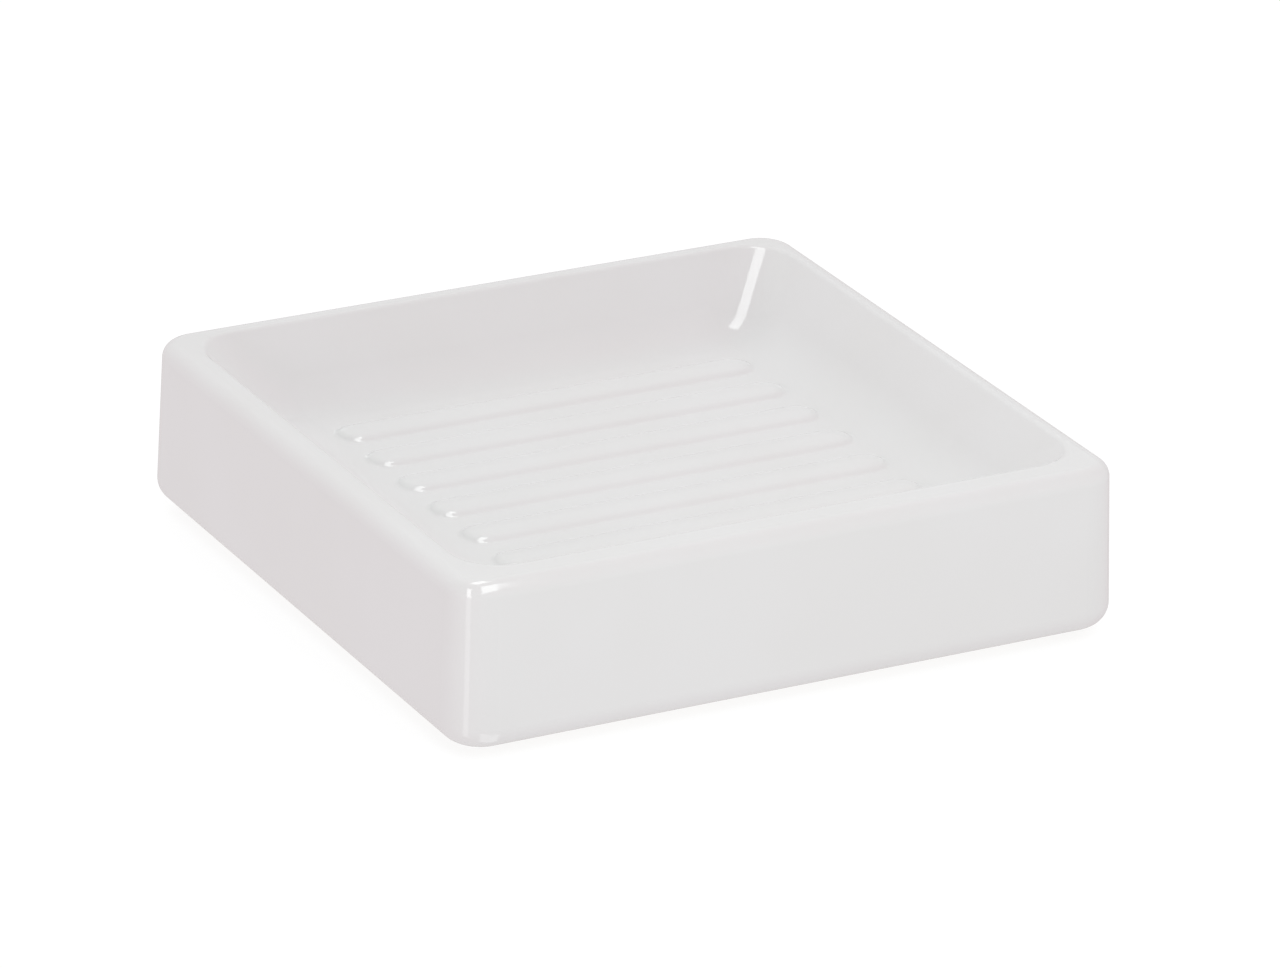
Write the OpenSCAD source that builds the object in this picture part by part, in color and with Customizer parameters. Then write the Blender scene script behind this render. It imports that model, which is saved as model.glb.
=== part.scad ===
// Square ceramic soap dish with a sloped basin, drain ribs and four soft feet.
// Millimetres. The dish stands on z = 0, centred, with its ribs along X and its front face at -Y.

/* [Body] */
// Width of the ceramic, left to right, at its widest just above the foot
body_w = 120; // [100:1:160]
// Depth of the ceramic, front to back, at its widest just above the foot
body_d = 120; // [100:1:160]
// Height of the ceramic alone, from its foot ring to the top of the rim
body_h = 28.5; // [26:0.5:45]
// How far each outer face leans in between the foot and the rim
side_lean = 0.6; // [0:0.1:2]
// Radius of the four upright corners
corner_r = 7; // [6:0.5:12]
// Radius of the outer edge of the rim
rim_outer_r = 2.7; // [1.5:0.1:3.4]
// Radius of the outer edge at the foot
foot_edge_r = 4; // [2:0.25:5]

/* [Basin] */
// Depth of the basin, from the rim to its flat floor
basin_depth = 11.1; // [9:0.1:14]
// Width of the left and right rim, from the outer face to where it rolls into the basin
side_rim_w = 3.7; // [3.5:0.1:8]
// Width of the front and back rim, from the outer face to where it rolls into the basin
front_rim_w = 5.3; // [3.5:0.1:8]
// Radius of the inner edge of the rim
rim_inner_r = 2.4; // [1:0.1:4]
// Steepest slope of the basin walls, in degrees from level
wall_angle = 49; // [40:1:60]
// Radius of the ball that sweeps the walls into the floor and into each other
bowl_r = 12; // [8:0.5:14]

/* [Ribs] */
// Distance from one rib to the next, which also says how many ribs the floor holds
rib_pitch = 11.65; // [9.5:0.05:16]
// Width of a rib where it leaves the floor
rib_w = 8.7; // [6:0.1:9]
// Height of a rib over the floor
rib_h = 0.9; // [0.6:0.1:1.6]
// Distance from the round ends of a rib to the edge of the flat floor
rib_end_gap = 0.2; // [0:0.1:10]
// Radius of the hollow curve at the foot of a rib
rib_foot_r = 3.2; // [1:0.1:5]
// How far the foot of a rib runs on under the floor
rib_sink = 0.02; // [0.01:0.01:0.05]

/* [Underside] */
// Thickness of the ceramic between the basin and the hollow under it
shell_t = 6.3; // [5:0.1:7.5]
// Width of the foot ring at the left and right, from the outer face to the hollow
foot_ring_w = 6.5; // [6:0.1:10]
// How much more round the hollow's corners are than the body's, which leaves a land for each foot
corner_land = 13; // [11:0.5:16]
// Radius at the top of the channel between outer wall and basin
channel_r = 2.5; // [1.5:0.1:3]
// Radius of the inner edge of the foot ring
ring_edge_r = 1; // [0.5:0.1:1.5]

/* [Feet] */
// Diameter of a foot
foot_d = 8.6; // [6:0.1:9]
// Height of a foot below its adhesive disc
foot_h = 1.3; // [1:0.1:3]
// Radius of the rounded lower edge of a foot
foot_round_r = 0.8; // [0.3:0.1:0.9]
// Distance from the edge of an adhesive disc to the edge of its foot
adhesive_inset = 0.3; // [0.1:0.1:1]
// Thickness of an adhesive disc
adhesive_t = 0.2; // [0.1:0.05:0.5]
// Distance kept between a foot and the rounded inner edge of the foot ring
foot_margin = 0.4; // [0.2:0.1:1]

/* [Hidden] */
$fn = 96;
// facets of the balls that sweep the bowl
ball_facets = 64;
// overrun of every cut past the face that it opens
overrun = 1;

LEFT = -1;
RIGHT = 1;
FRONT = -1;
BACK = 1;

// heights
base_z = foot_h + adhesive_t;
top_z = base_z + body_h;
floor_z = top_z - basin_depth;

// half sizes of the outer body at the level of the rim
top_x = body_w / 2 - side_lean;
top_y = body_d / 2 - side_lean;

// half sizes of the basin at the crest of the rim
crest_x = top_x - side_rim_w;
crest_y = top_y - front_rim_w;

// drop and run of the basin wall: two arcs and the straight slope between them
arcs_r = bowl_r + rim_inner_r;
slope_drop = basin_depth - arcs_r * (1 - cos(wall_angle));
wall_run = arcs_r * sin(wall_angle) + slope_drop / tan(wall_angle);

// half sizes of the flat floor
floor_x = crest_x - wall_run;
floor_y = crest_y - wall_run;

// as many ribs as the flat floor holds, each as long as it allows
rib_count = 1 + floor((2 * floor_y - rib_w) / rib_pitch);
rib_len = 2 * (floor_x - rib_end_gap);

// slope of the valley between two walls, and the radius in plan that it gives the rim's inner corners
valley_angle = atan(tan(wall_angle) / sqrt(2));
valley_share = (sin(wall_angle) - sin(valley_angle) / sqrt(2)
  + (cos(wall_angle) - cos(valley_angle)) / tan(wall_angle)) / (1 - 1 / sqrt(2));
crest_corner_r = arcs_r * valley_share;

// section of a rib: a crown over two hollow feet
rib_angle = 2 * atan(2 * rib_h / rib_w);
crown_r = rib_w / 2 / sin(rib_angle) - rib_foot_r;
crown_x = crown_r * sin(rib_angle);
crown_z = rib_h - crown_r * (1 - cos(rib_angle));

// the hollow under the dish, whose outline keeps to the basin's
hollow_x = body_w / 2 - foot_ring_w;
hollow_y = hollow_x + crest_y - crest_x;
hollow_corner_r = corner_r + corner_land;
hollow_axis_x = hollow_x - hollow_corner_r;
hollow_axis_y = hollow_y - hollow_corner_r;
ceiling_z = floor_z - shell_t;
// where the flat ceiling ends, measured from the corner axis
ceiling_end = floor_x - hollow_axis_x;
skin_r = bowl_r + shell_t;
skin_z = floor_z + bowl_r;
channel_x = hollow_corner_r - channel_r;
channel_z = skin_z - sqrt(pow(skin_r + channel_r, 2) - pow(channel_x - ceiling_end, 2));

// distance of a foot from the hollow's corner axis
foot_reach = hollow_corner_r + ring_edge_r + foot_margin + foot_d / 2;
foot_x = hollow_axis_x + foot_reach / sqrt(2);
foot_y = hollow_axis_y + foot_reach / sqrt(2);
adhesive_d = foot_d - 2 * adhesive_inset;

// Sweeps a section round a rectangle whose corners turn about (axis_x, axis_y). The section is drawn with x
// as the distance out from a corner's axis and y as the height; fill_z is the height of the block within it.
module swept(axis_x, axis_y, fill_z) {
  translate([-axis_x, -axis_y, fill_z[0]])
    cube([2 * axis_x, 2 * axis_y, fill_z[1] - fill_z[0]]);
  for (turn = [0 : 3]) {
    along = turn % 2 == 0 ? axis_y : axis_x;
    out = turn % 2 == 0 ? axis_x : axis_y;
    rotate([0, 0, turn * 90]) {
      translate([out, along, 0])
        rotate([90, 0, 0])
          linear_extrude(2 * along) children();
      translate([out, along, 0])
        rotate_extrude(angle = 90) children();
    }
  }
}

// Section of the outer body: a leaning face between two rounded edges.
module body_section() {
  // lean of the face as an angle, which turns both tangent points
  lean = atan(side_lean / body_h);
  low = [corner_r - foot_edge_r, base_z + foot_edge_r];
  high = [corner_r - side_lean - rim_outer_r, top_z - rim_outer_r];
  turn = [cos(lean), sin(lean)];
  intersection() {
    translate([0, base_z]) square([corner_r, body_h]);
    union() {
      translate(low) circle(foot_edge_r);
      translate(high) circle(rim_outer_r);
      polygon([
        [0, base_z], [low.x, base_z], low, low + foot_edge_r * turn,
        high + rim_outer_r * turn, high, [high.x, top_z], [0, top_z],
      ]);
    }
  }
}

// The dish before anything is hollowed out of it.
module outer_body() {
  swept(body_w / 2 - corner_r, body_d / 2 - corner_r, [base_z, top_z]) body_section();
}

// One of the balls whose hull is the bowl, on the valley that runs up from a floor corner.
module bowl_ball(x, y, climb) {
  translate([x * (floor_x + climb), y * (floor_y + climb), floor_z + bowl_r + climb * tan(wall_angle)])
    sphere(bowl_r, $fn = ball_facets);
}

// Floor and walls of the basin, as the space that a ball sweeps between them.
module bowl() {
  hull() {
    translate([-floor_x, -floor_y, floor_z])
      cube([2 * floor_x, 2 * floor_y, basin_depth]);
    for (x = [LEFT, RIGHT], y = [FRONT, BACK]) {
      bowl_ball(x, y, 0);
      bowl_ball(x, y, wall_run);
    }
  }
}

// Section of the space over the rolled inner edge of the rim.
module rim_section() {
  difference() {
    translate([0, top_z - rim_inner_r * (1 - cos(wall_angle))])
      square([crest_corner_r, rim_inner_r + overrun]);
    translate([crest_corner_r, top_z - rim_inner_r]) circle(rim_inner_r);
  }
}

// Rolls the inner edge of the rim into the bowl.
module rim_roll() {
  swept(crest_x - crest_corner_r, crest_y - crest_corner_r, [top_z, top_z + overrun]) rim_section();
}

// Half of a rib's section, from its middle line out.
module half_rib_section() {
  intersection() {
    translate([0, rib_h - crown_r]) circle(crown_r);
    translate([0, crown_z]) square([rib_w, rib_h]);
  }
  difference() {
    polygon([[0, -rib_h], [rib_w / 2, -rib_h], [rib_w / 2, 0], [crown_x, crown_z], [0, crown_z]]);
    translate([rib_w / 2, rib_foot_r]) circle(rib_foot_r);
  }
}

// One rib on the floor, with round ends.
module rib(y) {
  straight = rib_len - rib_w;
  translate([0, y, floor_z - rib_sink]) {
    rotate([90, 0, 90])
      translate([0, 0, -straight / 2])
        linear_extrude(straight) {
          half_rib_section();
          mirror([1, 0]) half_rib_section();
        }
    for (side = [LEFT, RIGHT])
      translate([side * straight / 2, 0, 0])
        rotate([0, 0, -side * 90])
          rotate_extrude(angle = 180) half_rib_section();
  }
}

// Section of the hollow under the dish, with the channel that rises between outer wall and basin.
module hollow_section() {
  difference() {
    polygon([
      [0, base_z - overrun], [hollow_corner_r, base_z - overrun], [hollow_corner_r, channel_z],
      [channel_x, channel_z], [ceiling_end, skin_z], [ceiling_end, ceiling_z], [0, ceiling_z],
    ]);
    translate([ceiling_end, skin_z]) circle(skin_r);
  }
  translate([channel_x, channel_z]) circle(channel_r);
  difference() {
    translate([0, base_z - overrun]) square([hollow_corner_r + ring_edge_r, overrun + ring_edge_r]);
    translate([hollow_corner_r + ring_edge_r, base_z + ring_edge_r]) circle(ring_edge_r);
  }
}

// The hollow that keeps the fired shell about even in thickness.
module underside_hollow() {
  swept(hollow_axis_x, hollow_axis_y, [base_z - overrun, ceiling_z]) hollow_section();
}

// The fired and glazed dish, in one piece with its ribs.
module ceramic_dish() {
  color("whitesmoke") {
    difference() {
      outer_body();
      bowl();
      rim_roll();
      underside_hollow();
    }
    for (i = [0 : rib_count - 1])
      rib((i - (rib_count - 1) / 2) * rib_pitch);
  }
}

// A moulded silicone foot: a disc with a rounded lower edge.
module foot(x, y) {
  color("lightgray")
    translate([x * foot_x, y * foot_y, 0])
      rotate_extrude() {
        translate([foot_d / 2 - foot_round_r, foot_round_r])
          intersection() {
            circle(foot_round_r);
            translate([0, -foot_round_r]) square(foot_round_r);
          }
        square([foot_d / 2 - foot_round_r, foot_h]);
        translate([0, foot_round_r]) square([foot_d / 2, foot_h - foot_round_r]);
      }
}

// The adhesive disc that holds a foot to the foot ring.
module adhesive(x, y) {
  color("gainsboro")
    translate([x * foot_x, y * foot_y, foot_h])
      cylinder(h = adhesive_t, d = adhesive_d);
}

ceramic_dish();
foot(LEFT, FRONT);  // foot_front_left
foot(RIGHT, FRONT);  // foot_front_right
foot(LEFT, BACK);  // foot_back_left
foot(RIGHT, BACK);  // foot_back_right
adhesive(LEFT, FRONT);  // adhesive_front_left
adhesive(RIGHT, FRONT);  // adhesive_front_right
adhesive(LEFT, BACK);  // adhesive_back_left
adhesive(RIGHT, BACK);  // adhesive_back_right
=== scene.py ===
"""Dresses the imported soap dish: a glazed ceramic body on four silicone feet, in a pale studio."""

import logging
import math
from collections.abc import Callable, Iterator
from contextlib import contextmanager
from dataclasses import dataclass
from enum import Enum

import bmesh
import bpy
from mathutils import Matrix, Vector


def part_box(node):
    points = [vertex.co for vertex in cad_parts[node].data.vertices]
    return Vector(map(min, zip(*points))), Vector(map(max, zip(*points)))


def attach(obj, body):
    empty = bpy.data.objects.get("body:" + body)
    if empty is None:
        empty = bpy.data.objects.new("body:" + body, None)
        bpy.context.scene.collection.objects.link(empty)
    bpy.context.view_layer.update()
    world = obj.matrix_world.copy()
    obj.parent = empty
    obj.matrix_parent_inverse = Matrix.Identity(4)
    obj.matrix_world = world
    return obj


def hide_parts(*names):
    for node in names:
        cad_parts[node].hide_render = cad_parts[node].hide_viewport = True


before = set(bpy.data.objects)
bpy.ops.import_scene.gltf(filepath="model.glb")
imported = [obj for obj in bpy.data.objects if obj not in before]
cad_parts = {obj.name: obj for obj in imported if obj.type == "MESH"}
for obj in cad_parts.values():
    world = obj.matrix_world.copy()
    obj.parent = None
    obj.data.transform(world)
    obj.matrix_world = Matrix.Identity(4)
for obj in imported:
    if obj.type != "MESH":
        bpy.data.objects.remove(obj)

LOG = logging.getLogger("soap_dish")
MM = 0.001
BODY = "root"
# how far a vertex may lie from the place that it is picked by
NEAR = 0.001 * MM
# least upward part of the normal of a face that counts as level
LEVEL = 0.99
# width of the level lip round a mouth, as a share of what its rounded edge takes
LIP_SHARE = 1.2
# widest strip that is closed as a sliver
SLIVER = 0.03 * MM
# steps along each rounded corner, alike on every loop so that the loops bridge vertex to vertex
CORNER_STEPS = 24
# how far the bare clay of the foot ring runs up from where the dish stands
GLAZE_GAP = 0.2 * MM

Colour = tuple[float, float, float, float]
Triple = tuple[float, float, float]
# what an input of a node takes: another node's output, or a plain value
Source = bpy.types.NodeSocket | float | Colour | Vector
# a node group, with the sockets by which values come in and leave
Group = tuple[bpy.types.NodeTree, bpy.types.NodeOutputs, bpy.types.NodeInputs]
EdgeTest = Callable[[bmesh.types.BMEdge], bool]
FaceTest = Callable[[bmesh.types.BMFace], bool]
VertexTest = Callable[[bmesh.types.BMVert], bool]
Test = EdgeTest | FaceTest | VertexTest

WHITE: Colour = (1, 1, 1, 1)


class Corner(Enum):
    """The corners of the dish, with the signs of their x and y."""

    FRONT_LEFT = (-1, -1)
    FRONT_RIGHT = (1, -1)
    BACK_LEFT = (-1, 1)
    BACK_RIGHT = (1, 1)

    @property
    def place(self) -> str:
        """The corner's name as the nodes spell it."""
        return self.name.lower()


class Pick(Enum):
    """What edit mode selects."""

    VERTEX = "VERT"
    EDGE = "EDGE"
    FACE = "FACE"


def deselect_all() -> None:
    """Leaves no object selected, so that an operator acts on nothing by accident."""
    bpy.context.view_layer.update()
    bpy.ops.object.select_all(action="DESELECT")


def make_active(piece: bpy.types.Object) -> None:
    """Selects one object alone and makes it the active one.

    Args:
        piece: the object that the next operators act on.
    """
    deselect_all()
    piece.select_set(True)
    bpy.context.view_layer.objects.active = piece


def pick(piece: bpy.types.Object, kind: Pick, test: Test) -> None:
    """Selects, in edit mode, what passes a test, and nothing else of its kind.

    Args:
        piece: the mesh object that is being edited.
        kind: whether the test is for vertices, edges or faces.
        test: says of one of them whether it is picked.
    """
    shape = bmesh.from_edit_mesh(piece.data)
    for part in {Pick.VERTEX: shape.verts, Pick.EDGE: shape.edges, Pick.FACE: shape.faces}[kind]:
        part.select_set(test(part))
    bmesh.update_edit_mesh(piece.data)


@contextmanager
def editing(piece: bpy.types.Object, kind: Pick, test: Test | None = None) -> Iterator[None]:
    """Opens a piece in edit mode with what passes a test selected, and closes it again.

    Args:
        piece: the mesh object to edit.
        kind: what is selected in there.
        test: says of one of them whether it is picked; without a test all of them are.
    """
    make_active(piece)
    bpy.ops.object.mode_set(mode="EDIT")
    bpy.ops.mesh.select_mode(type=kind.value)
    bpy.ops.mesh.select_all(action="DESELECT" if test else "SELECT")
    if test:
        pick(piece, kind, test)
    yield
    bpy.ops.object.mode_set(mode="OBJECT")


def add_primitive(name: str, operator: Callable[..., set[str]], **settings: object) -> bpy.types.Object:
    """Adds a primitive with nothing else selected.

    Args:
        name: the new object's name.
        operator: the operator that adds it.
        settings: its sizes and its place.

    Returns:
        The new object.
    """
    deselect_all()
    operator(**settings)
    piece = bpy.context.active_object
    piece.name = name
    return piece


def add_block(name: str, half_x: float, half_y: float, low_z: float, high_z: float) -> bpy.types.Object:
    """Adds a block that is centred over the origin.

    Args:
        name: the block's name.
        half_x: half its width.
        half_y: half its depth.
        low_z: height of its underside.
        high_z: height of its top.

    Returns:
        The block, with its place in its mesh.
    """
    block = add_primitive(
        name,
        bpy.ops.mesh.primitive_cube_add,
        size=1,
        location=(0, 0, (low_z + high_z) / 2),
        scale=(2 * half_x, 2 * half_y, high_z - low_z),
    )
    settle(block)
    return block


def settle(piece: bpy.types.Object) -> None:
    """Moves an object's place, turn and scale into its mesh.

    Args:
        piece: the object that is left at the origin.
    """
    make_active(piece)
    bpy.ops.object.transform_apply(location=True, rotation=True, scale=True)


def apply_modifier(piece: bpy.types.Object, kind: str, **settings: object) -> None:
    """Adds a modifier to a piece and applies it at once.

    Args:
        piece: the mesh object that it changes.
        kind: the modifier's type.
        settings: its values, by property name.
    """
    make_active(piece)
    bpy.ops.object.modifier_add(type=kind)
    modifier = piece.modifiers[-1]
    for key, value in settings.items():
        setattr(modifier, key, value)
    bpy.ops.object.modifier_apply(modifier=modifier.name)


def open_and_turn(shell: bpy.types.Object, test: FaceTest) -> None:
    """Opens a block where a test says, and makes it the wall of a hollow.

    Args:
        shell: the block, which comes out with its faces pointing inwards.
        test: says of a face whether it is taken away.
    """
    with editing(shell, Pick.FACE, test):
        bpy.ops.mesh.delete(type="FACE")
        bpy.ops.mesh.select_all(action="SELECT")
        bpy.ops.mesh.flip_normals()


def arc_profile(turn: float) -> float:
    """The bevel profile whose middle lies on a true arc.

    Args:
        turn: angle by which the surface turns across the bevel, in radians.

    Returns:
        The profile value; it is 0.5 for a right angle.
    """
    return (1 - 0.5 / (1 + math.cos(turn / 2))) ** 2


def arc_offset(radius: float, turn: float) -> float:
    """Distance from a sharp edge to where a fillet of that radius leaves its faces.

    Args:
        radius: the fillet's radius.
        turn: angle by which the surface turns across it, in radians.

    Returns:
        The distance along either face.
    """
    return radius * math.tan(turn / 2)


def round_edges(piece: bpy.types.Object, test: EdgeTest, radius: float, turn: float, steps: int) -> None:
    """Rounds the edges that pass a test.

    Args:
        piece: the mesh object to change.
        test: says of an edge whether it is rounded.
        radius: the fillet's radius.
        turn: angle by which the surface turns across the edge, in radians.
        steps: faces across the fillet.
    """
    with editing(piece, Pick.EDGE, test):
        bpy.ops.mesh.bevel(
            offset=arc_offset(radius, turn),
            offset_type="OFFSET",
            segments=steps,
            profile=arc_profile(turn),
            affect="EDGES",
            clamp_overlap=False,
        )


def lies_at(vertex: bmesh.types.BMVert, height: float) -> bool:
    """Says whether a vertex lies at a height."""
    return abs(vertex.co.z - height) < NEAR


def lies_in(vertex: bmesh.types.BMVert, corner: Corner) -> bool:
    """Says whether a vertex lies in the quarter of the plan that holds a corner."""
    x_sign, y_sign = corner.value
    return x_sign * vertex.co.x > 0 and y_sign * vertex.co.y > 0


def edge_at(edge: bmesh.types.BMEdge, height: float) -> bool:
    """Says whether an edge lies level at a height."""
    return all(lies_at(vertex, height) for vertex in edge.verts)


def is_upright(edge: bmesh.types.BMEdge) -> bool:
    """Says whether an edge runs mostly up and down."""
    first, second = (vertex.co for vertex in edge.verts)
    return abs(first.z - second.z) > (first.xy - second.xy).length


def touches_open(edge: bmesh.types.BMEdge) -> bool:
    """Says whether either end of an edge lies on an open border."""
    return any(vertex.is_boundary for vertex in edge.verts)


def face_at(face: bmesh.types.BMFace, height: float) -> bool:
    """Says whether a face lies level at a height."""
    return all(lies_at(vertex, height) for vertex in face.verts)


def round_level(piece: bpy.types.Object, height: float, radius: float, turn: float, steps: int) -> None:
    """Rounds the edges that lie level at a height, apart from those that meet an open border.

    Args:
        piece: the mesh object to change.
        height: height of the edges.
        radius: the fillet's radius.
        turn: angle by which the surface turns across the edges, in radians.
        steps: faces across the fillet.
    """
    round_edges(piece, lambda edge: edge_at(edge, height) and not touches_open(edge), radius, turn, steps)


def is_cap(face: bmesh.types.BMFace) -> bool:
    """Says whether a face closes the top or bottom of a block with rounded corners."""
    return abs(face.normal.z) > LEVEL and len(face.verts) > CORNER_STEPS


def resize_corners(
    shell: bpy.types.Object, test: VertexTest, axis: tuple[float, float], share: float
) -> None:
    """Draws the rounded corners of a loop in or out, each about its own upright axis.

    Args:
        shell: the object that holds the loop.
        test: says of a vertex whether it belongs to the loop.
        axis: distance of the corner axes from the middle, along x and along y.
        share: the new corner radius as a share of the old one.
    """
    for corner in Corner:
        x_sign, y_sign = corner.value
        with editing(shell, Pick.VERTEX, lambda vertex: test(vertex) and lies_in(vertex, corner)):
            bpy.ops.transform.resize(
                value=(share, share, 1), center_override=(x_sign * axis[0], y_sign * axis[1], 0)
            )


def shade(piece: bpy.types.Object) -> None:
    """Shades a piece smooth, with the flats kept flat up to their edges.

    Args:
        piece: the finished mesh object.
    """
    make_active(piece)
    bpy.ops.object.shade_smooth()
    apply_modifier(piece, "WEIGHTED_NORMAL", mode="FACE_AREA")


@dataclass(frozen=True)
class DishSizes:
    """Sizes of the fired dish that its outer box doesn't give, in metres and radians."""

    side_lean: float = 0.6 * MM
    corner_radius: float = 7 * MM
    rim_outer_radius: float = 2.7 * MM
    foot_edge_radius: float = 4 * MM
    basin_depth: float = 11.1 * MM
    side_rim: float = 4.2 * MM
    front_rim: float = 5.8 * MM
    rim_inner_radius: float = 1.3 * MM
    # how far the top of the right side leans to the right, and of the back side to the back
    mouth_lean: tuple[float, float] = (1.05 * MM, 1.2 * MM)
    wall_lean: tuple[float, float] = (-0.3 * MM, -1 * MM)
    wall_slope: float = math.radians(49)
    bowl_radius: float = 12 * MM
    shell: float = 6.3 * MM
    foot_ring: float = 6.5 * MM
    corner_land: float = 13 * MM
    channel_radius: float = 2.5 * MM
    ring_edge_radius: float = 1 * MM

    @property
    def valley_turn(self) -> float:
        """Angle by which the surface turns across a valley."""
        return math.acos(math.cos(self.wall_slope) ** 2)


@dataclass(frozen=True)
class RibSizes:
    """Sizes of the drain ribs, in metres and radians."""

    pitch: float = 11.65 * MM
    width: float = 8.7 * MM
    height: float = 0.9 * MM
    end_gap: float = 0.2 * MM
    flank_slope: float = math.radians(32)
    foot_radius: float = 1.9 * MM
    edge_radius: float = 3.1 * MM
    steps: int = 6
    end_steps: int = 16

    @property
    def run(self) -> float:
        """Distance from the rib's middle line to the centre of its rounded edge."""
        return self.width / 2 - (self.foot_radius + self.edge_radius) * math.sin(self.flank_slope)

    @property
    def crown_slope(self) -> float:
        """Slope at which the gentle crown passes into the rounded edge."""
        rounds = (self.foot_radius + self.edge_radius) * (1 - math.cos(self.flank_slope))
        return 2 * math.atan((self.height - rounds) / self.run)

    def section(self) -> list[tuple[float, float]]:
        """The rib's half section, from its foot to its crest.

        Returns:
            Pairs of the distance from the rib's middle line and the height over the floor.
        """
        flank, crown = self.flank_slope, self.crown_slope
        edge_z = self.foot_radius * (1 - math.cos(flank)) - self.edge_radius * math.cos(flank)
        crown_radius = self.run / math.sin(crown) + self.edge_radius
        shares = [step / self.steps for step in range(self.steps + 1)]
        foot = [
            (self.width / 2 - self.foot_radius * math.sin(angle), self.foot_radius * (1 - math.cos(angle)))
            for angle in (flank * share for share in shares)
        ]
        edge = [
            (self.run + self.edge_radius * math.sin(angle), edge_z + self.edge_radius * math.cos(angle))
            for angle in (flank + (crown - flank) * share for share in shares)
        ]
        top = [
            (crown_radius * math.sin(angle), self.height - crown_radius * (1 - math.cos(angle)))
            for angle in (crown * (1 - share) for share in shares)
        ]
        return foot + edge[1:] + top[1:]


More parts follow.
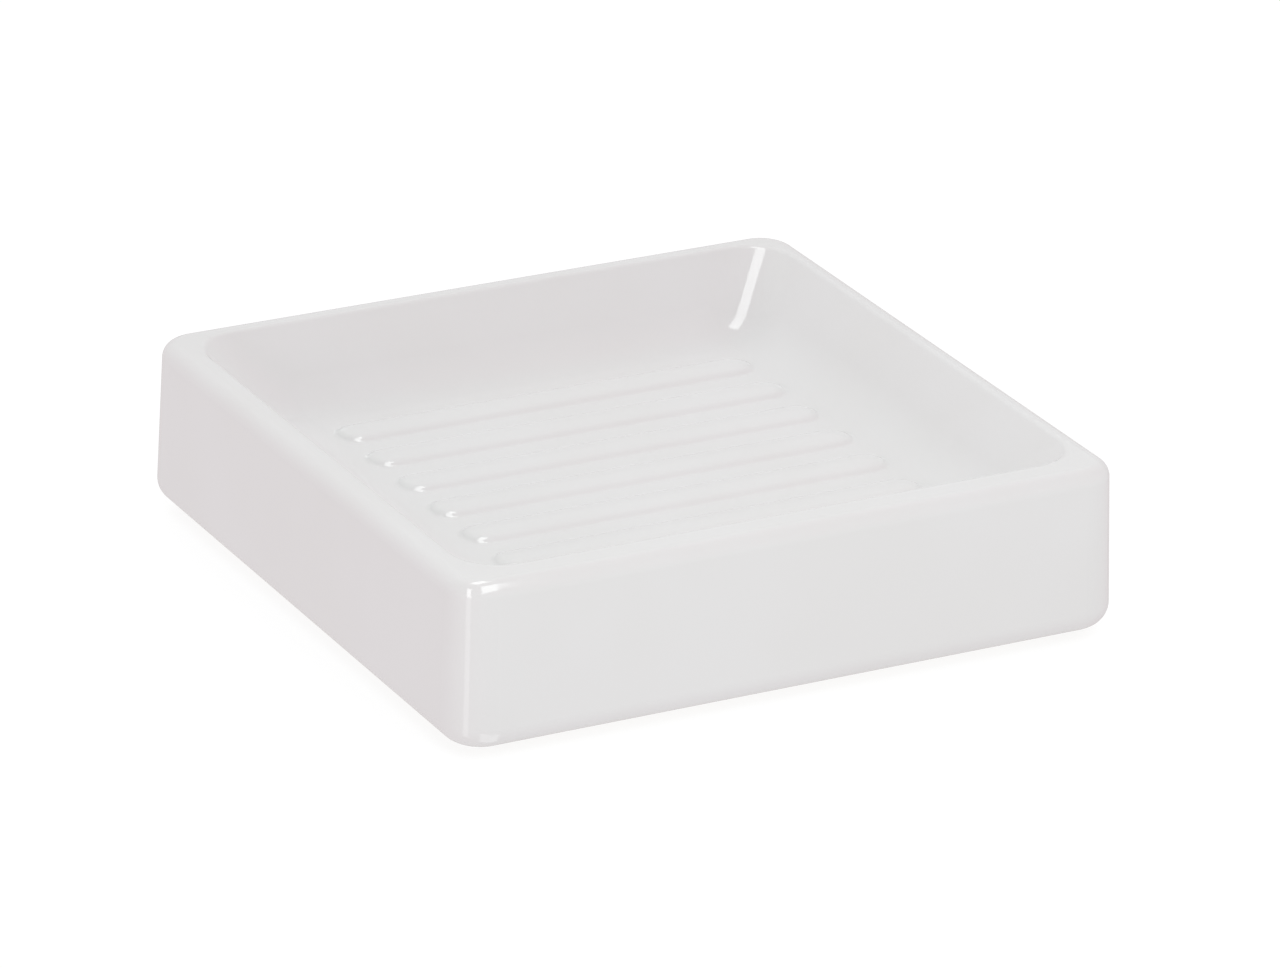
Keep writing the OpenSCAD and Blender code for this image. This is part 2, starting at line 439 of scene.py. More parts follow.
@dataclass
class CeramicDish:
    """The fired dish: outer walls, sloped basin with ribs, and the hollow under it."""

    low: Vector
    high: Vector
    sizes: DishSizes
    rib_sizes: RibSizes
    foot_segments: int = 14
    rim_segments: int = 12

    def __post_init__(self) -> None:
        """Works out the places that several shells share."""
        sizes = self.sizes
        top_x = self.high.x - sizes.side_lean
        top_y = self.high.y - sizes.side_lean
        straight = self.high.z - self.low.z - sizes.foot_edge_radius - sizes.rim_outer_radius
        self.lean = math.atan(sizes.side_lean / straight)
        self.foot_flare = sizes.foot_edge_radius * math.tan(self.lean)
        self.rim_taper = sizes.rim_outer_radius * math.tan(self.lean)
        self.floor_z = self.high.z - sizes.basin_depth
        roll = arc_offset(sizes.rim_inner_radius, sizes.wall_slope)
        self.crest_x = top_x - sizes.side_rim - roll
        self.crest_y = top_y - sizes.front_rim - roll
        run = sizes.basin_depth / math.tan(sizes.wall_slope)
        self.floor_x = self.crest_x - run
        self.floor_y = self.crest_y - run
        # angle at which a valley meets the level edge of the mouth
        meeting = math.acos(1 / math.sqrt(2 + math.tan(sizes.wall_slope) ** 2))
        self.crest_corner = arc_offset(sizes.bowl_radius, sizes.valley_turn) / math.sin(meeting)
        self.fillet = arc_offset(sizes.bowl_radius, sizes.wall_slope)
        self.plan_hollow()

    def plan_hollow(self) -> None:
        """Works out the hollow: a sloping ring that keeps the shell even, round a flat ceiling."""
        sizes = self.sizes
        self.hollow_x = self.high.x - sizes.foot_ring
        self.hollow_y = self.hollow_x + sizes.side_rim - sizes.front_rim
        self.hollow_corner = sizes.corner_radius + sizes.corner_land
        self.ceiling_z = self.floor_z - sizes.shell
        skin_radius = sizes.bowl_radius + sizes.shell
        ceiling_end = self.floor_x - self.fillet - (self.hollow_x - self.hollow_corner)
        reach = self.hollow_corner - sizes.channel_radius - ceiling_end
        # slope at which the arc of the channel runs straight into the arc round the ceiling
        self.ring_slope = math.asin(reach / (skin_radius + sizes.channel_radius))
        self.skin_radius = skin_radius
        self.ring_width = self.hollow_corner - ceiling_end - arc_offset(skin_radius, self.ring_slope)
        self.ring_rise = self.ring_width * math.tan(self.ring_slope)

    def outer_shell(self) -> bpy.types.Object:
        """Makes the leaning outer walls with their rolled rim and foot, open at top and bottom.

        Returns:
            The walls as a tube with rounded upright corners.
        """
        sizes = self.sizes
        flare = self.foot_flare
        shell = add_block(
            "outer_shell", self.high.x + flare, self.high.y + flare, self.low.z, self.high.z
        )
        round_edges(shell, is_upright, sizes.corner_radius + flare, math.pi / 2, CORNER_STEPS)
        resize_corners(
            shell,
            lambda vertex: lies_at(vertex, self.high.z),
            (self.high.x - sizes.corner_radius, self.high.y - sizes.corner_radius),
            (sizes.corner_radius - sizes.side_lean - self.rim_taper) / (sizes.corner_radius + flare),
        )
        round_level(
            shell, self.high.z, sizes.rim_outer_radius, math.pi / 2 - self.lean, self.rim_segments
        )
        round_level(
            shell, self.low.z, sizes.foot_edge_radius, math.pi / 2 + self.lean, self.foot_segments
        )
        with editing(shell, Pick.FACE, is_cap):
            bpy.ops.mesh.delete(type="FACE")
        self.lean_far_sides(shell, self.low.z, sizes.wall_lean)
        return shell

    def basin_shell(self) -> bpy.types.Object:
        """Makes the sloped walls, the floor and the inner half of the rim.

        Returns:
            The basin, its valleys and floor edges swept by one ball.
        """
        sizes = self.sizes
        shell = add_block("basin_shell", self.crest_x, self.crest_y, self.floor_z, self.high.z)
        with editing(shell, Pick.FACE, lambda face: face.normal.z < -LEVEL):
            bpy.ops.transform.resize(
                value=(self.floor_x / self.crest_x, self.floor_y / self.crest_y, 1), center_override=(0, 0, 0)
            )
        valley = arc_offset(sizes.bowl_radius, sizes.valley_turn)
        with editing(
            shell,
            Pick.EDGE,
            lambda edge: not edge_at(edge, self.high.z) and not edge_at(edge, self.floor_z),
        ):
            bpy.ops.transform.edge_bevelweight(value=1)
            pick(shell, Pick.EDGE, lambda edge: edge_at(edge, self.floor_z))
            bpy.ops.transform.edge_bevelweight(value=self.fillet / valley)
        apply_modifier(
            shell,
            "BEVEL",
            limit_method="WEIGHT",
            offset_type="OFFSET",
            width=valley,
            segments=CORNER_STEPS,
            profile=arc_profile((sizes.valley_turn + sizes.wall_slope) / 2),
            use_clamp_overlap=False,
        )
        self.settle_on_ball(shell)
        open_and_turn(shell, lambda face: face.normal.z > LEVEL)
        lip = LIP_SHARE * arc_offset(sizes.rim_inner_radius, sizes.wall_slope)
        self.add_lip(shell, self.high.z, (self.crest_x, self.crest_y), self.crest_corner, lip)
        round_level(shell, self.high.z, sizes.rim_inner_radius, sizes.wall_slope, self.rim_segments)
        self.lean_far_sides(shell, self.floor_z, sizes.mouth_lean)
        return shell

    def lean_far_sides(self, shell: bpy.types.Object, foot_z: float, steps: tuple[float, float]) -> None:
        """Leans the right and the back side of a shell, where the real rim is narrower.

        Args:
            shell: the outer walls or the basin.
            foot_z: height at which the lean starts.
            steps: how far the top of the right side moves to the right, and of the back side to the back.
        """
        for axis, step in enumerate(steps):
            lean = shell.vertex_groups.new(name="lean")
            for vertex in shell.data.vertices:
                if vertex.co[axis] > 0:
                    lean.add([vertex.index], (vertex.co.z - foot_z) / (self.high.z - foot_z), "REPLACE")
            apply_modifier(
                shell, "DISPLACE", direction="XY"[axis], strength=step, mid_level=0, vertex_group=lean.name
            )
            shell.vertex_groups.clear()

    def settle_on_ball(self, shell: bpy.types.Object) -> None:
        """Puts the patch at each floor corner onto the ball that sweeps the basin.

        Args:
            shell: the basin with its edges rounded.
        """
        radius = self.sizes.bowl_radius
        inner_x = self.floor_x - self.fillet
        inner_y = self.floor_y - self.fillet
        climb = Vector((1, 1, math.tan(self.sizes.wall_slope)))
        for corner in Corner:
            x_sign, y_sign = corner.value
            centre = Vector((x_sign * inner_x, y_sign * inner_y, self.floor_z + radius))

            def is_patch(vertex: bmesh.types.BMVert) -> bool:
                """Says whether a vertex lies between the floor and both walls, below the valley."""
                out = Vector((x_sign * (vertex.co.x - centre.x), y_sign * (vertex.co.y - centre.y), 0))
                out.z = vertex.co.z - centre.z
                return min(out.x, out.y) > -NEAR and out.dot(climb) < NEAR

            with editing(shell, Pick.VERTEX, is_patch):
                bpy.ops.transform.tosphere(value=1, center_override=centre)
                # the operator takes the mean distance, so the patch still has to reach the ball
                patch = bmesh.from_edit_mesh(shell.data).verts
                share = radius / next((vertex.co - centre).length for vertex in patch if vertex.select)
                bpy.ops.transform.resize(value=(share, share, share), center_override=centre)

    @staticmethod
    def add_lip(
        shell: bpy.types.Object, height: float, half: tuple[float, float], corner: float, width: float
    ) -> None:
        """Adds a level lip round the mouth of a hollow, square to its edge.

        Args:
            shell: the hollow, open at that height.
            height: height of its mouth.
            half: half the mouth's width and depth.
            corner: radius of the mouth's corners.
            width: how far the lip runs out.
        """
        with editing(shell, Pick.EDGE, lambda edge: edge.is_boundary):
            bpy.ops.mesh.extrude_edges_move()
        resize_corners(
            shell,
            lambda vertex: vertex.is_boundary and lies_at(vertex, height),
            (half[0] - corner, half[1] - corner),
            (corner + width) / corner,
        )

    def hollow_shell(self) -> bpy.types.Object:
        """Makes the hollow under the dish and the inner half of the foot ring.

        Returns:
            The hollow, with a channel and a sloping ring round its flat ceiling.
        """
        sizes = self.sizes
        ring_top = self.ceiling_z + self.ring_rise
        shell = add_block("hollow_shell", self.hollow_x, self.hollow_y, self.low.z, ring_top)
        round_edges(shell, is_upright, self.hollow_corner, math.pi / 2, CORNER_STEPS)
        with editing(shell, Pick.FACE, lambda face: face.normal.z > LEVEL):
            bpy.ops.mesh.inset(thickness=self.ring_width, depth=0)
            bpy.ops.transform.translate(value=(0, 0, -self.ring_rise))
        round_level(
            shell, ring_top, sizes.channel_radius, math.pi / 2 + self.ring_slope, self.foot_segments
        )
        round_level(shell, self.ceiling_z, self.skin_radius, self.ring_slope, self.rim_segments)
        # the two fillets meet, so the strip that is left between them closes
        with editing(shell, Pick.VERTEX):
            bpy.ops.mesh.remove_doubles(threshold=SLIVER)
        open_and_turn(shell, lambda face: face.normal.z < -LEVEL and face_at(face, self.low.z))
        lip = LIP_SHARE * sizes.ring_edge_radius
        self.add_lip(shell, self.low.z, (self.hollow_x, self.hollow_y), self.hollow_corner, lip)
        round_level(shell, self.low.z, sizes.ring_edge_radius, math.pi / 2, self.foot_segments // 2)
        return shell

    def rib_skins(self) -> bpy.types.Object:
        """Makes the ribs as skins that rise from the floor, each drawn in ring by ring to its crest.

        Returns:
            All the ribs in one mesh, open where they meet the floor.
        """
        sizes = self.rib_sizes
        flat_x = self.floor_x - self.fillet
        flat_y = self.floor_y - self.fillet
        reach = flat_x - sizes.end_gap - sizes.width / 2
        count = 1 + math.floor((2 * flat_y - sizes.width) / sizes.pitch)
        rib = self.rib_outline(reach)
        rings = sizes.section()
        with editing(rib, Pick.VERTEX):
            for (wide, low), (narrow, high) in zip(rings, rings[1:]):
                bpy.ops.mesh.extrude_edges_move()
                bpy.ops.transform.translate(value=(0, 0, high - low))
                self.draw_in(rib, self.floor_z + high, reach, narrow / wide)
        with editing(rib, Pick.VERTEX):
            bpy.ops.mesh.remove_doubles(threshold=NEAR)
            bpy.ops.transform.translate(value=(0, -(count - 1) / 2 * sizes.pitch, 0))
        apply_modifier(
            rib,
            "ARRAY",
            count=count,
            use_relative_offset=False,
            use_constant_offset=True,
            constant_offset_displace=(0, sizes.pitch, 0),
        )
        return rib

    def rib_outline(self, reach: float) -> bpy.types.Object:
        """Makes the outline of one rib on the floor, with its ends rounded.

        Args:
            reach: distance from the middle to the centre of either round end.

        Returns:
            The outline, without a face.
        """
        width = self.rib_sizes.width
        rib = add_primitive(
            "rib_skins", bpy.ops.mesh.primitive_plane_add, size=1, location=(0, 0, self.floor_z)
        )
        rib.scale = (2 * reach + width, width, 1)
        settle(rib)
        with editing(rib, Pick.VERTEX):
            bpy.ops.mesh.bevel(
                affect="VERTICES", offset=width / 2, segments=self.rib_sizes.end_steps, clamp_overlap=False
            )
            bpy.ops.mesh.select_all(action="SELECT")
            bpy.ops.mesh.remove_doubles(threshold=NEAR)
            bpy.ops.mesh.select_all(action="SELECT")
            bpy.ops.mesh.delete(type="ONLY_FACE")
        return rib

    @staticmethod
    def draw_in(rib: bpy.types.Object, height: float, reach: float, share: float) -> None:
        """Narrows the ring at a height, each end towards its own centre.

        Args:
            rib: the rib that is being edited.
            height: height of the ring.
            reach: distance from the middle to the centre of either round end.
            share: the ring's new width as a share of its old one.
        """
        for side in (-1, 1):
            pick(rib, Pick.VERTEX, lambda vertex: lies_at(vertex, height) and side * vertex.co.x > 0)
            bpy.ops.transform.resize(
                value=(share, share, 1), center_override=(side * reach, 0, height)
            )
        pick(rib, Pick.VERTEX, lambda vertex: lies_at(vertex, height))

    def build(self) -> bpy.types.Object:
        """Joins the shells into one closed body.

        Returns:
            The dish, with its place in its mesh.
        """
        dish = self.outer_shell()
        parts = [self.basin_shell(), self.hollow_shell()]
        make_active(dish)
        for part in parts:
            part.select_set(True)
        bpy.ops.object.join()
        dish.name = "dish_body"
        for height in (self.high.z, self.low.z):
            with editing(dish, Pick.EDGE, lambda edge: edge.is_boundary and edge_at(edge, height)):
                bpy.ops.mesh.bridge_edge_loops()
        self.lay_ribs(dish)
        shade(dish)
        return dish

    def lay_ribs(self, dish: bpy.types.Object) -> None:
        """Takes the flat floor out and fills it again round the feet of the ribs.

        Args:
            dish: the joined body.
        """
        ribs = self.rib_skins()
        with editing(dish, Pick.FACE, lambda face: face_at(face, self.floor_z)):
            bpy.ops.mesh.delete(type="FACE")
        make_active(dish)
        ribs.select_set(True)
        bpy.ops.object.join()
        with editing(dish, Pick.EDGE, lambda edge: edge.is_boundary):
            bpy.ops.mesh.fill(use_beauty=True)
            bpy.ops.mesh.select_all(action="SELECT")
            bpy.ops.mesh.normals_make_consistent(inside=False)


@dataclass
class SiliconeFeet:
    """The four soft feet: moulded discs with a rounded lower edge."""

    round_radius: float = 0.8 * MM
    top_edge_radius: float = 0.15 * MM
    facets: int = 72
    steps: int = 6

    def build(self, finish: bpy.types.Material) -> list[bpy.types.Object]:
        """Models the first foot, and copies it to the other corners.

        Args:
            finish: the silicone.

        Returns:
            The feet, each at its own corner with its own mesh.
        """
        corners = list(Corner)
        first = self.model(*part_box(f"foot_{corners[0].place}"), f"silicone_{corners[0].place}")
        first.data.materials.append(finish)
        start = self.middle(corners[0])
        feet = [first]
        for corner in corners[1:]:
            foot = first.copy()
            foot.data = first.data.copy()
            foot.name = f"silicone_{corner.place}"
            foot.location = self.middle(corner) - start
            bpy.context.scene.collection.objects.link(foot)
            settle(foot)
            feet.append(foot)
        for corner, foot in zip(corners, feet):
            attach(foot, BODY)
            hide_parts(f"foot_{corner.place}")
        return feet

    @staticmethod
    def middle(corner: Corner) -> Vector:
        """The middle of the CAD foot at a corner."""
        low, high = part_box(f"foot_{corner.place}")
        return (low + high) / 2

    def model(self, low: Vector, high: Vector, name: str) -> bpy.types.Object:
        """Models one foot.

        Args:
            low: lowest corner of the CAD foot.
            high: highest corner of the CAD foot.
            name: the new piece's name.

        Returns:
            The foot, at the CAD foot's place.
        """
        foot = add_primitive(
            name,
            bpy.ops.mesh.primitive_cylinder_add,
            vertices=self.facets,
            radius=(high.x - low.x) / 2,
            depth=high.z - low.z,
            location=(low + high) / 2,
        )
        settle(foot)
        round_level(foot, low.z, self.round_radius, math.pi / 2, self.steps)
        round_level(foot, high.z, self.top_edge_radius, math.pi / 2, self.steps // 2)
        shade(foot)
        return foot


class Blend(Enum):
    """What a mix node blends, with the places of its two inputs and of its output."""

    VALUE = ("FLOAT", 2, 3, 0)
    COLOUR = ("RGBA", 6, 7, 2)


def feed(tree: bpy.types.NodeTree, target: bpy.types.NodeSocket, value: Source) -> None:
    """Links another node's output to an input, or gives the input a plain value.

    Args:
        tree: the tree that holds the nodes.
        target: the input.
        value: an output, or a number or colour.
    """
    if isinstance(value, bpy.types.NodeSocket):
        tree.links.new(value, target)
    else:
        target.default_value = value


def add_node(
    tree: bpy.types.NodeTree, kind: str, sockets: dict[str | int, Source], **settings: object
) -> bpy.types.Node:
    """Adds a node with its settings and inputs.

    Args:
        tree: the tree that gets the node.
        kind: the node's type.
        sockets: its inputs by name or by place, each an output or a plain value.
        settings: its own properties by name.

    Returns:
        The node.
    """
    node = tree.nodes.new(kind)
    for key, value in settings.items():
        setattr(node, key, value)
    for place, value in sockets.items():
        feed(tree, node.inputs[place], value)
    return node


def mix(
    tree: bpy.types.NodeTree, blend: Blend, share: Source, first: Source, second: Source
) -> bpy.types.NodeSocket:
    """Mixes two values or two colours.

    Args:
        tree: the tree that gets the node.
        blend: whether values or colours are mixed.
        share: how much of the second shows.
        first: what shows where the share is 0.
        second: what shows where the share is 1.

    Returns:
        The mixed output.
    """
    kind, first_place, second_place, out_place = blend.value
    sockets = {0: share, first_place: first, second_place: second}
    return add_node(tree, "ShaderNodeMix", sockets, data_type=kind).outputs[out_place]


def ramp(
    tree: bpy.types.NodeTree, value: Source, start: Source, end: Source, low: Source = 0, high: Source = 1
) -> bpy.types.NodeSocket:
    """Maps a value smoothly from one range to another, held at both ends.

    Args:
        tree: the tree that gets the node.
        value: what is mapped.
        start: where it begins to change.
        end: where it stops.
        low: the result at the start.
        high: the result at the end.

    Returns:
        The mapped output.
    """
    sockets = {"Value": value, "From Min": start, "From Max": end, "To Min": low, "To Max": high}
    return add_node(tree, "ShaderNodeMapRange", sockets, interpolation_type="SMOOTHSTEP").outputs["Result"]


def new_group(name: str, inputs: dict[str, str], outputs: dict[str, str]) -> Group:
    """Starts a shader node group.

    Args:
        name: the group's name.
        inputs: its inputs, each name with its kind.
        outputs: its outputs, each name with its kind.

    Returns:
        The group, with the sockets by which values come in and leave.
    """
    group = bpy.data.node_groups.new(name, "ShaderNodeTree")
    for side, sockets in (("INPUT", inputs), ("OUTPUT", outputs)):
        for label, kind in sockets.items():
            group.interface.new_socket(name=label, in_out=side, socket_type=f"NodeSocket{kind}")
    inlet = group.nodes.new("NodeGroupInput").outputs
    outlet = group.nodes.new("NodeGroupOutput").inputs
    return group, inlet, outlet


@dataclass(frozen=True)
class Effects:
    """Surface effects that several finishes share, each a node group."""

    noise_middle: float = 0.5
    cloud_contrast: float = 0.16
    cloud_detail: float = 2
    grain_detail: float = 3

    def build(self) -> dict[str, bpy.types.NodeTree]:
        """Builds the groups.

        Returns:
            The groups by name.
        """
        groups = (self.cloudy_tint(), self.uneven_skin(), self.specks())
        return {group.name: group for group in groups}

    def cloudy_tint(self) -> bpy.types.NodeTree:
        """Builds the group that drifts between two tints in soft clouds.

        Returns:
            The group.
        """
        group, inlet, outlet = new_group(
            "cloudy_tint",
            {"Place": "Vector", "Clouds per metre": "Float", "Tint": "Color", "Other tint": "Color"},
            {"Colour": "Color"},
        )
        noise = add_node(
            group,
            "ShaderNodeTexNoise",
            {"Vector": inlet["Place"], "Scale": inlet["Clouds per metre"], "Detail": self.cloud_detail},
        )
        start, end = self.noise_middle - self.cloud_contrast, self.noise_middle + self.cloud_contrast
        share = ramp(group, noise.outputs["Fac"], start, end)
        feed(group, outlet["Colour"], mix(group, Blend.COLOUR, share, inlet["Tint"], inlet["Other tint"]))
        return group

    def uneven_skin(self) -> bpy.types.NodeTree:
        """Builds the group for a skin whose height and roughness wander.

        Returns:
            The group.
        """
        group, inlet, outlet = new_group(
            "uneven_skin",
            {"Place": "Vector", "Bumps per metre": "Float", "Smoothest": "Float", "Roughest": "Float"},
            {"Height": "Float", "Roughness": "Float"},
        )
        noise = add_node(
            group,
            "ShaderNodeTexNoise",
            {"Vector": inlet["Place"], "Scale": inlet["Bumps per metre"], "Detail": self.grain_detail},
        )
        height = noise.outputs["Fac"]
        roughness = mix(group, Blend.VALUE, height, inlet["Smoothest"], inlet["Roughest"])
        feed(group, outlet["Height"], height)
        feed(group, outlet["Roughness"], roughness)
        return group

    def specks(self) -> bpy.types.NodeTree:
        """Builds the group that scatters small round specks.

        Returns:
            The group.
        """
        group, inlet, outlet = new_group(
            "specks",
            {"Place": "Vector", "Cells per metre": "Float", "Radius share": "Float", "Bare share": "Float"},
            {"Mask": "Float"},
        )
        cells = add_node(
            group, "ShaderNodeTexVoronoi", {"Vector": inlet["Place"], "Scale": inlet["Cells per metre"]}
        )
        chance = add_node(group, "ShaderNodeSeparateColor", {"Color": cells.outputs["Color"]})
        picked = add_node(
            group,
            "ShaderNodeMath",
            {0: chance.outputs["Red"], 1: inlet["Bare share"]},
            operation="GREATER_THAN",
        )
        dot = ramp(group, cells.outputs["Distance"], 0, inlet["Radius share"], 1, 0)
        feed(group, outlet["Mask"], mix(group, Blend.VALUE, picked.outputs[0], 0.0, dot))
        return group


@dataclass(frozen=True)
class Board:
    """The node tree of one material, with its shader and the place on the piece."""

    material: bpy.types.Material
    groups: dict[str, bpy.types.NodeTree]

    @classmethod
    def start(cls, name: str, groups: dict[str, bpy.types.NodeTree]) -> "Board":
        """Starts a material.

        Args:
            name: the material's name.
            groups: the shared effects.

        Returns:
            The board.
        """
        material = bpy.data.materials.new(name)
        material.use_nodes = True
        material.node_tree.nodes.new("ShaderNodeTexCoord").name = "place"
        return cls(material, groups)

    @property
    def tree(self) -> bpy.types.NodeTree:
        """The material's node tree."""
        return self.material.node_tree

    @property
    def place(self) -> bpy.types.NodeSocket:
        """The place on the piece, in metres."""
        return self.tree.nodes["place"].outputs["Object"]

    def effect(self, name: str, **values: Source) -> bpy.types.Node:
        """Places a shared effect in the material.

        Args:
            name: the group's name.
            values: its inputs by name, with underscores for spaces.

        Returns:
            The group's node.
        """
        node = self.tree.nodes.new("ShaderNodeGroup")
        node.node_tree = self.groups[name]
        feed(self.tree, node.inputs["Place"], self.place)
        for key, value in values.items():
            feed(self.tree, node.inputs[key.replace("_", " ")], value)
        return node

    def clouds(self, size: float, tint: Colour, other_tint: Colour) -> bpy.types.NodeSocket:
        """The colour that drifts between two tints in clouds of that size."""
        clouds = self.effect("cloudy_tint", Clouds_per_metre=1 / size, Tint=tint, Other_tint=other_tint)
        return clouds.outputs["Colour"]

    def skin(self, size: float, smoothest: float, roughest: float) -> bpy.types.Node:
        """The uneven skin with bumps of that size, which gives a height and a roughness."""
        return self.effect("uneven_skin", Bumps_per_metre=1 / size, Smoothest=smoothest, Roughest=roughest)

    def specks(self, spacing: float, radius: float, bare: float) -> bpy.types.NodeSocket:
        """The mask of specks, with their radius and the cells left bare as shares."""
        specks = self.effect("specks", Cells_per_metre=1 / spacing, Radius_share=radius, Bare_share=bare)
        return specks.outputs["Mask"]

    def finish(self, **values: Source) -> bpy.types.Material:
        """Sets the shader's inputs.

        Args:
            values: its inputs by name, with underscores for spaces.

        Returns:
            The material.
        """
        shader = self.tree.nodes["Principled BSDF"]
        for key, value in values.items():
            feed(self.tree, shader.inputs[key.replace("_", " ")], value)
        return self.material

    def relief(self, height: bpy.types.NodeSocket, depth: float) -> bpy.types.NodeSocket:
        """Turns a height from 0 to 1 into a relief of a real depth.

        Args:
            height: the height.
            depth: the depth in metres.

        Returns:
            The bent normal.
        """
        return add_node(self.tree, "ShaderNodeBump", {"Height": height, "Distance": depth}).outputs["Normal"]


@dataclass(frozen=True)
class Glaze:
    """White gloss glaze over a fired body, which is wiped bare where the dish stands."""

    glaze_line: float
    white: Colour = (0.755, 0.754, 0.754, 1)
    warm_white: Colour = (0.747, 0.745, 0.742, 1)
    speck: Colour = (0.60, 0.56, 0.52, 1)
    fired_clay: Colour = (0.62, 0.585, 0.53, 1)
    cloud_size: float = 25 * MM
    ripple_size: float = 7 * MM
    ripple_depth: float = 0.007 * MM
    smoothest: float = 0.055
    roughest: float = 0.085
    speck_spacing: float = 4.5 * MM
    speck_radius_share: float = 0.035
    clear_share: float = 0.8
    speck_strength: float = 0.35
    clay_grain: float = 0.25 * MM
    pore_depth: float = 0.025 * MM
    clay_roughness: float = 0.75
    line_wander: float = 0.25 * MM
    line_softness: float = 0.08 * MM

    def build(self, groups: dict[str, bpy.types.NodeTree]) -> bpy.types.Material:
        """Builds the material.

        Args:
            groups: the shared effects.

        Returns:
            The glaze.
        """
        board = Board.start("gloss_glaze", groups)
        tree = board.tree
        clouds = board.clouds(self.cloud_size, self.white, self.warm_white)
        ripple = board.skin(self.ripple_size, self.smoothest, self.roughest)
        specks = board.specks(self.speck_spacing, self.speck_radius_share, self.clear_share)
        grain = board.skin(self.clay_grain, self.clay_roughness, self.clay_roughness)
        bare = self.bare_mask(board, ripple.outputs["Height"])
        faint = mix(tree, Blend.VALUE, specks, 0.0, self.speck_strength)
        glazed = mix(tree, Blend.COLOUR, faint, clouds, self.speck)
        ripples = board.relief(ripple.outputs["Height"], self.ripple_depth)
        pores = board.relief(grain.outputs["Height"], self.pore_depth)
        normal = mix(tree, Blend.COLOUR, bare, ripples, pores)
        return board.finish(
            Base_Color=mix(tree, Blend.COLOUR, bare, glazed, self.fired_clay),
            Roughness=mix(tree, Blend.VALUE, bare, ripple.outputs["Roughness"], grain.outputs["Roughness"]),
            Normal=normal,
        )

    def bare_mask(self, board: Board, wander: bpy.types.NodeSocket) -> bpy.types.NodeSocket:
        """Masks the bare clay of the foot ring, below a line that wanders a little.

        Args:
            board: the material's nodes.
            wander: a soft noise from 0 to 1.

        Returns:
            The mask, 1 where the clay is bare.
        """
        tree = board.tree
        height = add_node(tree, "ShaderNodeSeparateXYZ", {"Vector": board.place}).outputs["Z"]
        terms = {0: wander, 1: self.line_wander, 2: self.glaze_line}
        line = add_node(tree, "ShaderNodeMath", terms, operation="MULTIPLY_ADD")
        above = add_node(tree, "ShaderNodeMath", {0: height, 1: line.outputs[0]}, operation="SUBTRACT")
        return ramp(tree, above.outputs[0], -self.line_softness, self.line_softness, 1, 0)


@dataclass(frozen=True)
class Silicone:
    """Milky moulded silicone with a satin skin and a little dust."""

    milky: Colour = (0.74, 0.74, 0.73, 1)
    cloudy: Colour = (0.68, 0.68, 0.675, 1)
    dust: Colour = (0.52, 0.51, 0.49, 1)
    cloud_size: float = 3 * MM
    skin_size: float = 0.3 * MM
    skin_depth: float = 0.01 * MM
    smoothest: float = 0.38
    roughest: float = 0.55
    dust_spacing: float = 1.2 * MM
    dust_radius_share: float = 0.1
    clean_share: float = 0.75
    glow: float = 0.25
    glow_reach: float = 1 * MM

    def build(self, groups: dict[str, bpy.types.NodeTree]) -> bpy.types.Material:
        """Builds the material.

        Args:
            groups: the shared effects.

        Returns:
            The silicone.
        """
        board = Board.start("milky_silicone", groups)
        clouds = board.clouds(self.cloud_size, self.milky, self.cloudy)
        skin = board.skin(self.skin_size, self.smoothest, self.roughest)
        dust = board.specks(self.dust_spacing, self.dust_radius_share, self.clean_share)
        return board.finish(
            Base_Color=mix(board.tree, Blend.COLOUR, dust, clouds, self.dust),
            Roughness=skin.outputs["Roughness"],
            Normal=board.relief(skin.outputs["Height"], self.skin_depth),
            Subsurface_Weight=self.glow,
            Subsurface_Scale=self.glow_reach,
        )


@dataclass(frozen=True)
class AdhesiveFilm:
    """Matt adhesive film between a foot and the bare clay."""

    pale: Colour = (0.73, 0.72, 0.69, 1)
    yellowed: Colour = (0.69, 0.67, 0.61, 1)
    cloud_size: float = 2 * MM
    grain_size: float = 0.15 * MM
    grain_depth: float = 0.01 * MM
    smoothest: float = 0.6
    roughest: float = 0.8

    def build(self, groups: dict[str, bpy.types.NodeTree]) -> bpy.types.Material:
        """Builds the material.

        Args:
            groups: the shared effects.

        Returns:
            The film.
        """
        board = Board.start("adhesive_film", groups)
        grain = board.skin(self.grain_size, self.smoothest, self.roughest)
        return board.finish(
            Base_Color=board.clouds(self.cloud_size, self.pale, self.yellowed),
            Roughness=grain.outputs["Roughness"],
            Normal=board.relief(grain.outputs["Height"], self.grain_depth),
        )

    def dress(self, film: bpy.types.Material) -> None:
        """Gives the film to the four discs from model.glb, on the objects and not on their meshes.

        Args:
            film: the material.
        """
        for corner in Corner:
            disc = bpy.data.objects[f"adhesive_{corner.place}"]
            if not disc.material_slots:
                disc.data.materials.append(None)
            for slot in disc.material_slots:
                slot.link = "OBJECT"
                slot.material = film


def mix_shaders(
    tree: bpy.types.NodeTree, share: bpy.types.NodeSocket, first: bpy.types.Node, second: bpy.types.Node
) -> bpy.types.Node:
    """Mixes two shaders.

    Args:
        tree: the tree that gets the node.
        share: how much of the second shows.
        first: the first shader.
        second: the second shader.

    Returns:
        The mixed shader.
    """
    sockets = {0: share, 1: first.outputs[0], 2: second.outputs[0]}
    return add_node(tree, "ShaderNodeMixShader", sockets)


def glow_material(name: str) -> bpy.types.Material:
    """Starts a material for something that glows, which is met by rays and not sampled as a lamp.

    Args:
        name: the material's name.

    Returns:
        The material, still without a shader.
    """
    material = bpy.data.materials.new(name)
    material.use_nodes = True
    material.cycles.emission_sampling = "NONE"
    nodes = material.node_tree.nodes
    nodes.remove(nodes["Principled BSDF"])
    return material


